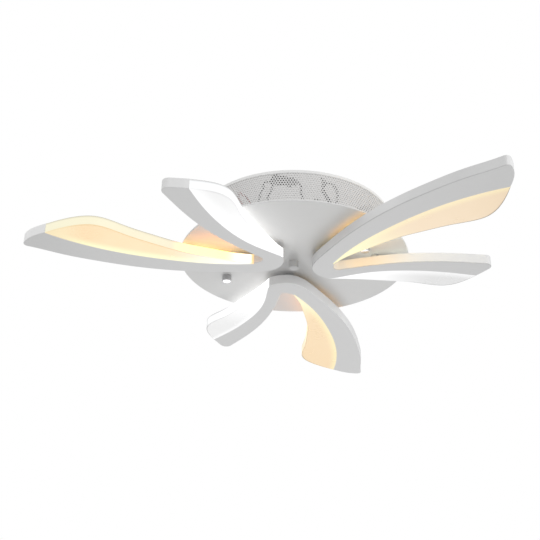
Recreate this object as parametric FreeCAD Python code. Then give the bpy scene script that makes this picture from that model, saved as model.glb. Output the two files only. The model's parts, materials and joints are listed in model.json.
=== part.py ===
import FreeCAD, Part
import math
import os

V = FreeCAD.Vector
os.makedirs("parts", exist_ok=True)

# ---------------------------------------------------------------- driving dimensions (mm, degrees)
R = 150.0                # radius of the canopy at the pan
R_TOP = 129.15           # radius of the hem ring; the perforated wall stands upright inside it
CANOPY_H = 58.2          # ceiling to the underside of the pan
PAN_T = 1.2              # sheet of the pan
LIP_H = 2.2              # hemmed rim of the pan, overall height
BAND_T = 0.8             # perforated sheet
HEM_H = 4.2              # plain ring against the ceiling
ARM_GAP = 6.3            # underside of the pan to the tops of the arms
ARM_T = 13.2             # thickness of the arms
ARM_WALL = 1.5           # walls and floor of the arm frames
TIP_R_LONG, TIP_R_SHORT, CROTCH_R = 6.0, 9.0, 7.0
FRAME_TURN = 25.2        # turns the plan so that the two studs lie on the X axis
STUD_X = 100.0           # studs and cap nuts at +-X
STUD_R = 2.0             # M4
CAP_R, CAP_H = 6.25, 8.0
CAP_BORE_R = 2.05
SLOT_PITCH, SLOT_L, SLOT_W = 100.0, 20.0, 5.0
BRACKET_L, BRACKET_W, BRACKET_T, JOGGLE = 230.0, 26.0, 2.0, 5.0
POST_R, POST_BORE, POST_IN = 5.0, 3.5, 5.0    # hollow threaded tube, and its depth in the arm
POST_UV = (-0.215, 0.180)             # arm fixings, in radii of the canopy
SCREW_UV = ((-0.620, 0.115), (-0.455, 0.545))
LEAD_D = 2.8

Z_PAN = -CANOPY_H                     # underside of the pan
Z_PAN_TOP = Z_PAN + PAN_T
Z_ARM_TOP = Z_PAN - ARM_GAP
Z_ARM = Z_ARM_TOP - ARM_T             # underside of the arms
Z_FLOOR = Z_ARM + ARM_WALL
R_BAND = R_TOP - 0.65                 # outside of the perforated wall

# Plan of one V arm seen from below, in radii of the canopy: poles of clamped cubic splines.
# u is to the right and v is towards the viewer.
OUTLINE = {
    "tip_end_long": [(-2.0400, 0.6900), (-2.0842, 0.6696), (-2.1976, 0.6110), (-2.2479, 0.5294), (-2.2750, 0.4800)],
    "outer_long": [(-2.2750, 0.4800), (-2.1751, 0.4467), (-1.9761, 0.3227), (-1.7276, 0.2298), (-1.4230, 0.1248),
                   (-1.1056, 0.0572), (-0.7649, 0.0272), (-0.4631, 0.0341), (-0.1213, 0.0372), (-0.0750, 0.2236),
                   (-0.0870, 0.3000)],
    "bound_short": [(-0.0870, 0.3000), (-0.1221, 0.3502), (-0.4103, 0.5111), (-0.6941, 1.0184), (-0.7543, 1.2236),
                    (-0.8000, 1.3700)],
    "tip_end_short": [(-0.8000, 1.3700), (-0.8820, 1.3820), (-0.9593, 1.3880), (-1.0500, 1.3910)],
    "edge_short": [(-1.0500, 1.3910), (-0.9924, 1.2661), (-0.8534, 0.9353), (-0.5523, 0.5256), (-0.2658, 0.2864),
                   (-0.2300, 0.2545)],
    "bound_long": [(-0.3420, 0.1860), (-0.6289, 0.1638), (-1.0022, 0.2200), (-1.5988, 0.3910), (-1.9382, 0.6046),
                   (-2.0400, 0.6900)],
    "wing_long": [(-0.3420, 0.2000), (-0.5181, 0.2197), (-0.6648, 0.2895), (-0.9585, 0.3849), (-1.1669, 0.5244),
                  (-1.3886, 0.6591), (-1.5778, 0.8468), (-1.8060, 0.8140), (-1.9858, 0.7234), (-2.0400, 0.6900)],
    "wing_short": [(-0.0870, 0.3000), (-0.1551, 0.4091), (-0.2346, 0.5674), (-0.3211, 0.7642), (-0.4310, 1.0013),
                   (-0.4599, 1.2022), (-0.5766, 1.3333), (-0.7502, 1.3629), (-0.8000, 1.3700)],
}


# ---------------------------------------------------------------- helpers
def plan(u, v):
    """Plan point, in radii and seen from below, to x and y in mm."""
    a = math.radians(FRAME_TURN)
    x, y = u * R, -v * R
    return x * math.cos(a) - y * math.sin(a), x * math.sin(a) + y * math.cos(a)


def at(u, v, z):
    x, y = plan(u, v)
    return V(x, y, z)


def spline(name, z):
    poles = [at(u, v, z) for u, v in OUTLINE[name]]
    n = len(poles)
    c = Part.BSplineCurve()
    c.buildFromPolesMultsKnots(poles, [4] + [1] * (n - 4) + [4], [float(i) for i in range(n - 2)], False, 3)
    return c


def line(a, b):
    return Part.LineSegment(a, b).toShape()


def through(points):
    c = Part.BSplineCurve()
    c.interpolate(points)
    return c.toShape()


def ribbon(name, z, start, end, near, far, side, samples=15):
    """Flat face that follows an outline curve between two shares of its length, from near to far beside it."""
    c = spline(name, z)
    lo, hi = c.FirstParameter, c.LastParameter
    a, b = [], []
    for i in range(samples):
        t = lo + (hi - lo) * (start + (end - start) * i / (samples - 1))
        p, d = c.value(t), c.tangent(t)[0]
        n = V(-d.y, d.x, 0) * side
        a.append(p + n * near)
        b.append(p + n * far)
    return Part.Face(Part.Wire([through(a), line(a[-1], b[-1]), through(b[::-1]), line(b[0], a[0])]))


def up(h):
    return V(0, 0, h)


def cyl(r, h, x, y, z):
    return Part.makeCylinder(r, h, V(x, y, z))


def ring(ro, ri, h, x, y, z):
    return cyl(ro, h, x, y, z).cut(cyl(ri, h, x, y, z))


def hexagon(af, h, x, y, z, turn=0.0):
    rc = af / math.sqrt(3.0)
    pts = [V(x + rc * math.cos(math.radians(60 * i + turn)), y + rc * math.sin(math.radians(60 * i + turn)), z)
           for i in range(7)]
    return Part.Face(Part.makePolygon(pts)).extrude(up(h))


def turned(profile):
    """Solid of revolution about Z from a closed list of (radius, height)."""
    pts = [V(r, 0, z) for r, z in profile]
    return Part.Face(Part.makePolygon(pts + pts[:1])).revolve(V(0, 0, 0), V(0, 0, 1), 360)


def spun(shape, i):
    s = shape.copy()
    s.rotate(V(0, 0, 0), V(0, 0, 1), 120.0 * i)
    return s


def upright_edges(shape, x, y):
    """Upright edges at a plan point."""
    out = []
    for e in shape.Edges:
        if len(e.Vertexes) == 2:
            a, b = e.Vertexes[0].Point, e.Vertexes[1].Point
            if abs(a.z - b.z) > 0.9 * ARM_T and math.hypot(a.x - x, a.y - y) < 0.05 and math.hypot(b.x - x, b.y - y) < 0.05:
                out.append(e)
    return out


def group(solids):
    return Part.makeCompound(solids)


def write(name, shape):
    solids = shape.Solids
    bad = [s for s in solids if not s.isValid()]
    print(name, "solids", len(solids), "volume", round(sum(s.Volume for s in solids), 2), "INVALID" if bad else "")
    (solids[0] if len(solids) == 1 else group(solids)).exportStep("parts/%s.step" % name)


def lead(points, d=LEAD_D):
    """Round lead along straight runs joined by tangent arcs; heights are above the inside of the pan."""
    p = [V(q[0], q[1], Z_PAN_TOP + q[2]) for q in points]
    n = len(p)
    edges, start, length, radii = [], p[0], 0.0, []
    for i in range(1, n - 1):
        a, b = p[i - 1] - p[i], p[i + 1] - p[i]
        la, lb = a.Length, b.Length
        a, b = a / la, b / lb
        half = (math.pi - a.getAngle(b)) / 2
        t = 0.45 * min(la, lb)
        r = t / math.tan(half)
        radii.append(round(r, 1))
        m = a + b
        m = m / m.Length
        mid = p[i] + m * (r / math.cos(half) - r)
        p1, p2 = p[i] + a * t, p[i] + b * t
        edges += [line(start, p1), Part.Arc(p1, mid, p2).toShape()]
        length += (p1 - start).Length + r * 2 * half
        start = p2
    edges.append(line(start, p[-1]))
    length += (p[-1] - start).Length
    ring_wire = Part.Wire(Part.makeCircle(d / 2, p[0], p[1] - p[0]))
    s = Part.Wire(edges).makePipeShell([ring_wire], True, True)
    s = s.Solids[0] if s.Solids else Part.Solid(s)
    print("  lead: length %.1f, volume ratio %.4f, least radius %.1f" % (length, s.Volume / (math.pi * d * d / 4 * length), min(radii)), radii)
    return s


# ---------------------------------------------------------------- ceiling bracket
half = BRACKET_L / 2
top = [(-half, -JOGGLE), (-84, -JOGGLE), (-78, 0), (78, 0), (84, -JOGGLE), (half, -JOGGLE)]
prof = [V(x, -BRACKET_W / 2, z) for x, z in top] + [V(x, -BRACKET_W / 2, z - BRACKET_T) for x, z in top[::-1]]
bracket = Part.Face(Part.makePolygon(prof + prof[:1])).extrude(V(0, BRACKET_W, 0))
corners = [e for e in bracket.Edges if abs(abs(e.CenterOfMass.x) - half) < 1e-6 and abs(e.Vertexes[0].Z - e.Vertexes[1].Z) > 1]
bracket = bracket.makeFillet(6.0, corners)
for s in (-1, 1):
    x = s * SLOT_PITCH / 2
    reach = (SLOT_L - SLOT_W) / 2
    slot = Part.makeBox(2 * reach, SLOT_W, 20, V(x - reach, -SLOT_W / 2, -10))
    for e in (-1, 1):
        slot = slot.fuse(cyl(SLOT_W / 2, 20, x + e * reach, 0, -10))
    bracket = bracket.cut(slot)
    bracket = bracket.cut(cyl(STUD_R + 0.02, 20, s * STUD_X, 0, -15))
bracket = bracket.cut(cyl(5.0, 20, 0, 0, -10))
bracket = bracket.cut(cyl(1.77, 20, 22, 6.5, -10))
write("ceiling_bracket", bracket)

z_end = -JOGGLE
STUD_END = Z_PAN - 6.35
studs, nuts = [], []
for s in (-1, 1):
    x = s * STUD_X
    head = cyl(4.0, 2.6, x, 0, z_end)
    head = head.makeFillet(1.2, [e for e in head.Edges if abs(e.CenterOfMass.z - (z_end + 2.6)) < 1e-6 and e.Closed])
    head = head.cut(Part.makeBox(6.4, 1.0, 2, V(x - 3.2, -0.5, z_end + 1.5)))
    shank = cyl(STUD_R, z_end - STUD_END, x, 0, STUD_END)
    shank = shank.makeChamfer(0.4, [e for e in shank.Edges if abs(e.CenterOfMass.z - STUD_END) < 1e-6 and e.Closed])
    studs.append(head.fuse(shank).removeSplitter())
    nuts.append(hexagon(7.0, 3.2, x, 0, z_end - BRACKET_T - 3.2).cut(cyl(STUD_R + 0.02, 10, x, 0, z_end - 10)))
write("bracket_studs", group(studs))
write("stud_lock_nuts", group(nuts))

z_e = -BRACKET_T
earth = cyl(3.4, 2.2, 22, 6.5, z_e - 3.0).fuse(cyl(4.0, 0.8, 22, 6.5, z_e - 0.8)).fuse(cyl(1.75, BRACKET_T - 0.2, 22, 6.5, z_e)).removeSplitter()
earth = earth.cut(Part.makeBox(8, 1.0, 1.0, V(18, 6.0, z_e - 3.0)))
write("earth_screw", earth)

# ---------------------------------------------------------------- canopy
post_xy = [plan(*POST_UV)]
screw_xy = [plan(*q) for q in SCREW_UV]


def around(x, y):
    """The three places of a fixing, a third of a turn apart."""
    r, a = math.hypot(x, y), math.atan2(y, x)
    return [(r * math.cos(a + 2 * math.pi * i / 3), r * math.sin(a + 2 * math.pi * i / 3)) for i in range(3)]


pan = turned([(0, Z_PAN), (R - 0.5, Z_PAN), (R, Z_PAN + 0.5), (R, Z_PAN + LIP_H - 0.3), (R - 0.3, Z_PAN + LIP_H),
              (R - 1.1, Z_PAN + LIP_H), (R - 1.1, Z_PAN_TOP), (0, Z_PAN_TOP)])
for s in (-1, 1):
    pan = pan.cut(cyl(STUD_R + 0.35, 10, s * STUD_X, 0, Z_PAN - 4))
for x, y in around(*post_xy[0]):
    pan = pan.cut(cyl(POST_R + 0.1, 10, x, y, Z_PAN - 4))
for q in screw_xy:
    for x, y in around(*q):
        pan = pan.cut(cyl(2.3, 10, x, y, Z_PAN - 4))
pan = pan.cut(cyl(2.1, 10, 0, 0, Z_PAN - 4))
write("canopy_pan", pan)

Z_BAND_TOP = -1.0
FOOT_R = R_BAND - 3.8                              # inner edge of the wall's turned-in foot
band = turned([(R_BAND, Z_PAN_TOP), (R_BAND, Z_BAND_TOP), (R_BAND - BAND_T, Z_BAND_TOP), (R_BAND - BAND_T, Z_PAN_TOP + BAND_T),
               (FOOT_R, Z_PAN_TOP + BAND_T), (FOOT_R, Z_PAN_TOP)])
write("perforated_band", band)

rim = turned([(R_TOP, -HEM_H), (R_TOP, -0.4), (R_TOP - 0.4, 0), (118.0, 0), (118.0, Z_BAND_TOP), (R_BAND + 0.02, Z_BAND_TOP),
              (R_BAND + 0.02, -HEM_H)])
write("top_rim_ring", rim)

KNOB_END = Z_PAN - 11.4
dome = 22.0                                        # radius of the slightly domed end
knob = cyl(CAP_R, Z_PAN - KNOB_END, 0, 0, KNOB_END)
knob = knob.common(Part.makeSphere(dome, V(0, 0, KNOB_END + dome)).fuse(cyl(CAP_R, 9.9, 0, 0, KNOB_END + 1.5)))
knob = knob.cut(cyl(2.02, 6.0, 0, 0, Z_PAN - 6.0)).removeSplitter()
write("centre_knob", knob)
cs = cyl(4.0, 2.4, 0, 0, Z_PAN_TOP)
cs = cs.makeFillet(1.0, [e for e in cs.Edges if abs(e.CenterOfMass.z - Z_PAN_TOP - 2.4) < 1e-6 and e.Closed])
cs = cs.cut(Part.makeBox(6.0, 1.0, 2, V(-3, -0.5, Z_PAN_TOP + 1.4))).fuse(cyl(2.0, PAN_T + 5.6, 0, 0, Z_PAN - 5.6)).removeSplitter()
write("centre_screw", cs)

for i, s in enumerate((-1, 1)):
    x, z0 = s * STUD_X, Z_PAN - 0.05
    c = cyl(CAP_R, CAP_H, x, 0, z0 - CAP_H)
    low = [e for e in c.Edges if abs(e.CenterOfMass.z - (z0 - CAP_H)) < 1e-6 and e.Closed]
    c = c.makeFillet(1.3, low)
    c = c.makeChamfer(0.3, [e for e in c.Edges if abs(e.CenterOfMass.z - z0) < 1e-6 and e.Closed])
    c = c.cut(cyl(CAP_BORE_R, 6.9, x, 0, z0 - 6.9))
    write("cap_nut_%d" % (i + 1), c)

# ---------------------------------------------------------------- drivers, terminal
PAD_T = 1.0
DRIVER_H = 24.0


def driver(cx, cy, lx, ly):
    z = Z_PAN_TOP + PAD_T
    b = Part.makeBox(lx, ly, DRIVER_H, V(cx - lx / 2, cy - ly / 2, z))
    b = b.makeFillet(2.5, [e for e in b.Edges if abs(e.Vertexes[0].Z - e.Vertexes[1].Z) > 1])
    b = b.makeFillet(1.2, [e for e in b.Edges if abs(e.CenterOfMass.z - z - DRIVER_H) < 1e-6])
    groove = Part.makeBox(lx + 2, ly + 2, 0.8, V(cx - lx / 2 - 1, cy - ly / 2 - 1, z + 18.5)).cut(
        Part.makeBox(lx - 1.2, ly - 1.2, 0.8, V(cx - lx / 2 + 0.6, cy - ly / 2 + 0.6, z + 18.5)))
    return b.cut(groove), Part.makeBox(lx - 16, ly - 10, PAD_T, V(cx - lx / 2 + 8, cy - ly / 2 + 5, Z_PAN_TOP))


DRIVER_WARM = (51.0, 63.0, 92.0, 36.0)
DRIVER_COOL = (30.0, -75.0, 92.0, 34.0)
dw, pad_w = driver(*DRIVER_WARM)
dc, pad_c = driver(*DRIVER_COOL)
write("driver_warm", dw)
write("driver_cool", dc)
write("driver_pads", group([pad_w, pad_c]))

tx, ty = -62.0, 4.0
tb = Part.makeBox(18, 34, 9, V(tx - 9, ty - 17, Z_PAN_TOP))
for k in (-1, 0, 1):
    tb = tb.fuse(Part.makeBox(16, 8.6, 8, V(tx - 8, ty + k * 10.6 - 4.3, Z_PAN_TOP + 8.5)))
tb = tb.removeSplitter()
ts = []
for k in (-1, 0, 1):
    for s in (-1, 1):
        x, y = tx + s * 4.2, ty + k * 10.6
        tb = tb.cut(cyl(2.2, 7.0, x, y, Z_PAN_TOP + 9.5))
        sc = cyl(1.9, 4.0, x, y, Z_PAN_TOP + 9.5).cut(Part.makeBox(5, 0.7, 1, V(x - 2.5, y - 0.35, Z_PAN_TOP + 12.8)))
        ts.append(sc)
    tb = tb.cut(Part.makeCylinder(1.7, 40, V(tx - 20, ty + k * 10.6, Z_PAN_TOP + 6.0), V(1, 0, 0)))
write("terminal_block", tb)
write("terminal_screws", group(ts))

# ---------------------------------------------------------------- connector pair and leads behind the perforation
ca, cb = V(30.95, -118.35, Z_PAN_TOP + 47.7), V(45.65, -113.25, Z_PAN_TOP + 43.9)     # on the axis of the two halves
axis = (cb - ca) / (cb - ca).Length
out = V(40.5, -120.0, 0)
down = axis.cross(out)
down = down / down.Length
out = down.cross(axis)
join = (ca + cb) / 2


def block(la, lb, lc, shift):
    """Box along the axis of the connector pair."""
    o = join + axis * (shift - la / 2) - out * (lb / 2) - down * (lc / 2)
    m = FreeCAD.Matrix(axis.x, out.x, down.x, o.x, axis.y, out.y, down.y, o.y, axis.z, out.z, down.z, o.z, 0, 0, 0, 1)
    return Part.makeBox(la, lb, lc).transformGeometry(m)


def above(p):
    """Point with its height above the inside of the pan."""
    return p.x, p.y, p.z - Z_PAN_TOP


SOCKET = (14.5, 6.2, 11.5)
write("lead_socket", block(*SOCKET, -SOCKET[0] / 2))
write("lead_plug", block(13.0, 5.8, 10.4, 6.5).fuse(block(5.5, 4.6, 6.8, 15.25)).removeSplitter())
yd = DRIVER_COOL[1] - DRIVER_COOL[3] / 2            # outer side of the cool driver
m1 = join - axis * SOCKET[0] + down * 4.0
m2 = join - axis * 10.5 + down * (SOCKET[2] / 2)
m3 = join + axis * 18.0
write("lead_m_left", lead([above(m1), above(m1 - axis * 6.4), (16.4, -124.1, 40.4), (15.2, -124.4, 35.0), (13.3, -124.6, 29.6),
                           (11.2, -124.8, 24.0), (10.3, -124.4, 17.4), (10.3, -121.6, 11.0), (9.8, -116.0, 6.2), (9.2, -108.8, 3.8), (8.5, -102.4, 5.6),
                           (8.5, -97.3, 9.05), (8.5, yd, 9.05)]))
write("lead_m_inner", lead([above(m2), above(m2 + down * 4.6), (26.7, -121.3, 35.4), (24.8, -122.7, 29.2), (22.9, -123.3, 22.8), (20.9, -123.4, 16.6),
                            (20.6, -120.8, 10.4), (21.6, -115.4, 6.0), (23.0, -108.8, 3.8), (24.3, -102.4, 5.6), (24.3, -97.3, 9.05), (24.3, yd, 9.05)]))
write("lead_m_right", lead([above(m3), above(m3 + axis * 4.8), (60.4, -109.3, 34.0), (60.6, -109.7, 28.4), (60.8, -109.5, 22.0), (62.6, -108.2, 15.8),
                            (64.8, -105.4, 10.2), (67.0, -101.8, 6.6), (67.0, -97.0, 8.55), (67.0, yd, 8.55)]))
zt = 6.0                                            # wire holes of the terminal block, above the inside of the pan
write("lead_loop_left", lead([(tx + 5.5, ty - 10.6, zt), (tx + 14.0, ty - 10.6, zt), (-38.0, -10.5, 9.05), (-21.0, -17.0, 16.55), (-1.0, -28.5, 25.05), (20.0, -43.0, 32.05),
                              (41.0, -58.0, 34.55), (61.0, -63.0, 31.55), (78.7, -63.9, 29.9), (78.7, -71.3, 33.2), (77.2, -78.1, 36.5), (77.4, -83.2, 41.4),
                              (78.4, -84.2, 50.8), (80.0, -88.8, 54.0), (81.4, -94.7, 51.4), (85.4, -91.2, 44.4), (83.4, -93.5, 36.6), (83.4, -93.5, 32.0), (85.0, -92.1, 28.0), (88.2, -88.9, 22.6), (90.4, -86.0, 16.6), (89.8, -83.6, 10.6),
                              (86.6, -82.5, 6.9), (81.2, -82.5, 8.55), (76.0, -82.5, 8.55)]))
write("lead_loop_right", lead([(tx + 5.5, ty, zt), (tx + 14.0, ty, zt), (-36.5, 1.0, 8.55), (-18.5, -6.0, 14.55), (3.0, -17.0, 22.05), (25.0, -32.0, 27.05),
                               (45.0, -43.5, 29.05), (62.0, -51.5, 31.55), (76.9, -57.1, 33.6), (77.2, -64.2, 36.9), (75.6, -71.0, 40.2), (76.3, -77.0, 44.3),
                               (79.0, -80.4, 48.4), (83.8, -82.8, 50.0), (88.6, -83.8, 47.8), (92.2, -83.4, 44.2), (94.4, -81.8, 39.8),
                               (96.2, -80.0, 34.6), (96.7, -79.4, 28.4), (95.3, -81.0, 21.6), (93.8, -79.4, 15.2), (91.6, -76.4, 9.8), (87.0, -74.0, 7.0),
                               (81.3, -74.0, 9.05), (76.0, -74.0, 9.05)]))
write("lead_driver_input", lead([(tx + 5.5, ty + 10.6, zt), (tx + 13.5, ty + 10.6, zt), (-41.5, 20.0, 8.55), (-37.5, 33.0, 11.55), (-32.5, 47.0, 12.55), (-21.0, 60.5, 12.55),
                                 (-8.0, 69.0, 11.45), (-0.5, 70.0, 11.05), (5.0, 70.0, 11.05)]))

# ---------------------------------------------------------------- arms
names = ["tip_end_long", "outer_long", "bound_short", "tip_end_short", "edge_short"]
edges = [spline(n, Z_ARM).toShape() for n in names]
crotch = at(*OUTLINE["edge_short"][-1], Z_ARM)
wing0, wing1 = at(*OUTLINE["wing_long"][0], Z_ARM), at(*OUTLINE["bound_long"][0], Z_ARM)
edges += [line(crotch, wing0), line(wing0, wing1), spline("bound_long", Z_ARM).toShape()]
frame_face = Part.Face(Part.Wire(Part.__sortEdges__(edges)))
arm = frame_face.extrude(up(ARM_T))
for key, r in (("outer_long", TIP_R_LONG), ("edge_short", TIP_R_SHORT)):
    p = at(*OUTLINE[key][0], 0)
    arm = arm.makeFillet(r, upright_edges(arm, p.x, p.y))
arm = arm.makeFillet(CROTCH_R, upright_edges(arm, crotch.x, crotch.y))
long_mid, short_mid = at(-1.3, 0.45, 0), at(-0.55, 1.0, 0)


def side_to(name, mid):
    """+1 or -1: the side of an outline curve on which a plan point lies."""
    c = spline(name, 0)
    t = (c.FirstParameter + c.LastParameter) / 2
    p, d = c.value(t), c.tangent(t)[0]
    return 1 if V(-d.y, d.x, 0).dot(mid - p) > 0 else -1


S_LONG, S_SHORT = -side_to("bound_long", long_mid), -side_to("bound_short", short_mid)    # away from the wings
S_OUTER, S_EDGE = side_to("outer_long", long_mid), side_to("edge_short", short_mid)       # into the frame


def beside(name, start, end, off, side, samples):
    """Points beside an outline curve, between two shares of its parameter."""
    c = spline(name, Z_FLOOR)
    lo, hi = c.FirstParameter, c.LastParameter
    pts = []
    for i in range(samples):
        t = lo + (hi - lo) * (start + (end - start) * i / (samples - 1))
        d = c.tangent(t)[0]
        pts.append(c.value(t) + V(-d.y, d.x, 0) * (side * off))
    return pts


# Hollow of the frame: walls on the outside, open towards the wings above the floor.
e1 = (beside("edge_short", 0.9, 0.9, 0, 1, 2)[0] - V(crotch.x, crotch.y, Z_FLOOR))
e1 = e1 / e1.Length
e2 = V(wing0.x - crotch.x, wing0.y - crotch.y, 0)
e2 = e2 / e2.Length
half = e1.getAngle(e2) / 2
mid = (e1 + e2) / (e1 + e2).Length
centre = V(crotch.x, crotch.y, Z_FLOOR) + mid * (CROTCH_R / math.sin(half))
ro = CROTCH_R + ARM_WALL
f1 = V(crotch.x, crotch.y, Z_FLOOR) + e1 * (CROTCH_R / math.tan(half)) - centre
f2 = V(crotch.x, crotch.y, Z_FLOOR) + e2 * (CROTCH_R / math.tan(half)) - centre
c1, cm, c2 = centre + f1 * (ro / f1.Length), centre - mid * ro, centre + f2 * (ro / f2.Length)
w_outer = beside("outer_long", 0.035, 0.985, ARM_WALL, S_OUTER, 45)
w_short = beside("bound_short", 0.07, 0.975, 1.0, -S_SHORT, 21)
w_edge = beside("edge_short", 0.10, 0.84, ARM_WALL, S_EDGE, 21)
w_long = beside("bound_long", 0.045, 0.985, 1.0, -S_LONG, 25)
stop = beside("bound_long", 0.045, 0.06, 2.6, S_LONG, 2)[0]
hollow = Part.Face(Part.Wire([
    through(w_outer), line(w_outer[-1], w_short[0]), through(w_short), line(w_short[-1], w_edge[0]), through(w_edge),
    line(w_edge[-1], c1), Part.Arc(c1, cm, c2).toShape(), line(c2, stop), line(stop, w_long[0]), through(w_long),
    line(w_long[-1], w_outer[0])]))
print("hollow plan area", round(hollow.Area, 1), hollow.isValid())
arm = arm.cut(hollow.extrude(up(ARM_T)))
print("frame solids", len(arm.Solids))

# Bosses for the post, the fixing screws and the strap screws.
px, py = post_xy[0]
arm = arm.fuse(cyl(9.0, ARM_T - ARM_WALL, px, py, Z_FLOOR))
for x, y in screw_xy:
    arm = arm.fuse(cyl(4.5, ARM_T - ARM_WALL, x, y, Z_FLOOR))

STRAPS = [("bound_long", S_LONG, 0.27), ("bound_long", S_LONG, 0.52), ("bound_long", S_LONG, 0.83),
          ("bound_short", S_SHORT, 0.40), ("bound_short", S_SHORT, 0.78)]
STRAP_T, STRAP_W, STRAP_REACH, STRAP_HOLE = 1.2, 9.0, 11.5, 7.0
strap_solids, strap_screws, wing_holes, boss_holes = [], [], {"bound_long": [], "bound_short": []}, []
for name, s, share in STRAPS:
    c = spline(name, Z_ARM_TOP)
    t = c.FirstParameter + (c.LastParameter - c.FirstParameter) * share
    p, d = c.value(t), c.tangent(t)[0]
    n = V(-d.y, d.x, 0) * s                       # away from the wing
    f, w = p + n * STRAP_HOLE, p - n * STRAP_HOLE
    arm = arm.fuse(cyl(3.2, ARM_T - ARM_WALL, f.x, f.y, Z_FLOOR))
    boss_holes.append(f)
    wing_holes[name].append(w)
    a, b = p + n * STRAP_REACH, p - n * STRAP_REACH
    k = d * (STRAP_W / 2)
    st = Part.Face(Part.makePolygon([a - k, a + k, b + k, b - k, a - k])).extrude(up(STRAP_T))
    st = st.makeFillet(2.5, [e for e in st.Edges if abs(e.Vertexes[0].Z - e.Vertexes[1].Z) > 1])
    for q in (f, w):
        st = st.cut(cyl(1.5, 5, q.x, q.y, Z_ARM_TOP - 1))
        h = cyl(2.75, 1.6, q.x, q.y, Z_ARM_TOP + STRAP_T)
        h = h.makeFillet(0.8, [e for e in h.Edges if abs(e.CenterOfMass.z - Z_ARM_TOP - STRAP_T - 1.6) < 1e-6 and e.Closed])
        h = h.cut(Part.makeBox(4.0, 0.7, 1, V(q.x - 2.0, q.y - 0.35, Z_ARM_TOP + STRAP_T + 0.9)))
        strap_screws.append(h.fuse(cyl(1.25, STRAP_T + 6.0, q.x, q.y, Z_ARM_TOP - 6.0)).removeSplitter())
    strap_solids.append(st)
arm = arm.cut(cyl(POST_R + 0.02, POST_IN + 0.3, px, py, Z_ARM_TOP - POST_IN - 0.3)).cut(cyl(4.2, ARM_T, px, py, Z_FLOOR))
q = V(*plan(-0.45, 0.115), 0) - V(px, py, 0)
q = q / q.Length
k = V(-q.y, q.x, 0) * 2.6
a = V(px, py, Z_FLOOR)
slot = Part.Face(Part.makePolygon([a - k, a + k, a + k + q * 14, a - k + q * 14, a - k])).extrude(up(5.4))
arm = arm.cut(slot)
for x, y in screw_xy:
    arm = arm.cut(cyl(2.02, 8.0, x, y, Z_ARM_TOP - 8.0))
for f in boss_holes:
    arm = arm.cut(cyl(1.27, 7.0, f.x, f.y, Z_ARM_TOP - 7.0))
arm = arm.removeSplitter()
print("arm frame solids", len(arm.Solids))

long_face = Part.Face(Part.Wire(Part.__sortEdges__([spline("bound_long", Z_ARM).toShape(), spline("wing_long", Z_ARM).toShape(), line(wing0, wing1)])))
short_face = Part.Face(Part.Wire(Part.__sortEdges__([spline("bound_short", Z_ARM).toShape(), spline("wing_short", Z_ARM).toShape()])))
long_wing, short_wing = long_face.extrude(up(ARM_T)), short_face.extrude(up(ARM_T))
for w in wing_holes["bound_long"]:
    long_wing = long_wing.cut(cyl(1.27, 7.0, w.x, w.y, Z_ARM_TOP - 7.0))
for w in wing_holes["bound_short"]:
    short_wing = short_wing.cut(cyl(1.27, 7.0, w.x, w.y, Z_ARM_TOP - 7.0))

# LED strips stand on edge on the inside of the outer walls.
zs, hs = Z_FLOOR + 1.2, 10.3
strip_long = ribbon("outer_long", zs, 0.055, 0.72, ARM_WALL + 0.1, ARM_WALL + 1.1, S_OUTER, 31).extrude(up(hs))
strip_short = ribbon("edge_short", zs, 0.12, 0.78, ARM_WALL + 0.1, ARM_WALL + 1.1, S_EDGE, 21).extrude(up(hs))

for i in range(3):
    k = i + 1
    write("arm_frame_%d" % k, spun(arm, i))
    write("long_wing_%d" % k, spun(long_wing, i))
    write("short_wing_%d" % k, spun(short_wing, i))
    write("long_led_strip_%d" % k, spun(strip_long, i))
    write("short_led_strip_%d" % k, spun(strip_short, i))
    write("wing_straps_%d" % k, spun(group(strap_solids), i))
    write("strap_screws_%d" % k, spun(group(strap_screws), i))

# ---------------------------------------------------------------- arm fixings
posts, pnuts, collars, screws, spacers, leads = [], [], [], [], [], []
POST_TOP = Z_PAN_TOP + 9.05
for x, y in around(px, py):
    posts.append(ring(POST_R, POST_BORE, POST_TOP - (Z_ARM_TOP - POST_IN), x, y, Z_ARM_TOP - POST_IN))
    pnuts.append(hexagon(14.0, 4.0, x, y, Z_PAN_TOP, 15).cut(cyl(POST_R + 0.02, 10, x, y, Z_PAN_TOP - 1)))
    collars.append(ring(8.5, POST_R + 0.1, ARM_GAP, x, y, Z_ARM_TOP))
for q2 in screw_xy:
    for x, y in around(*q2):
        h = cyl(4.0, 2.6, x, y, Z_PAN_TOP)
        h = h.makeFillet(1.1, [e for e in h.Edges if abs(e.CenterOfMass.z - Z_PAN_TOP - 2.6) < 1e-6 and e.Closed])
        h = h.cut(Part.makeBox(6.0, 1.0, 2, V(x - 3, y - 0.5, Z_PAN_TOP + 1.6)))
        screws.append(h.fuse(cyl(2.0, Z_PAN_TOP - Z_ARM_TOP + 7.0, x, y, Z_ARM_TOP - 7.0)).removeSplitter())
        spacers.append(ring(4.5, 2.2, ARM_GAP, x, y, Z_ARM_TOP))
write("arm_posts", group(posts))
write("post_nuts", group(pnuts))
write("post_collars", group(collars))
write("arm_screws", group(screws))
write("arm_spacers", group(spacers))

# Leads through the posts: the first is the red one, which also shows behind the perforation.
def into_arm(i):
    """Points from inside an arm up through its post."""
    t = math.radians(120.0 * i)
    pts = []
    for along, z in ((15.0, -16.55), (8.0, -17.15), (2.6, -15.55), (0.0, -10.95), (0.3, 0.55), (0.0, 10.05)):
        x, y = px + q.x * along, py + q.y * along
        pts.append((x * math.cos(t) - y * math.sin(t), x * math.sin(t) + y * math.cos(t), z))
    return pts


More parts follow.
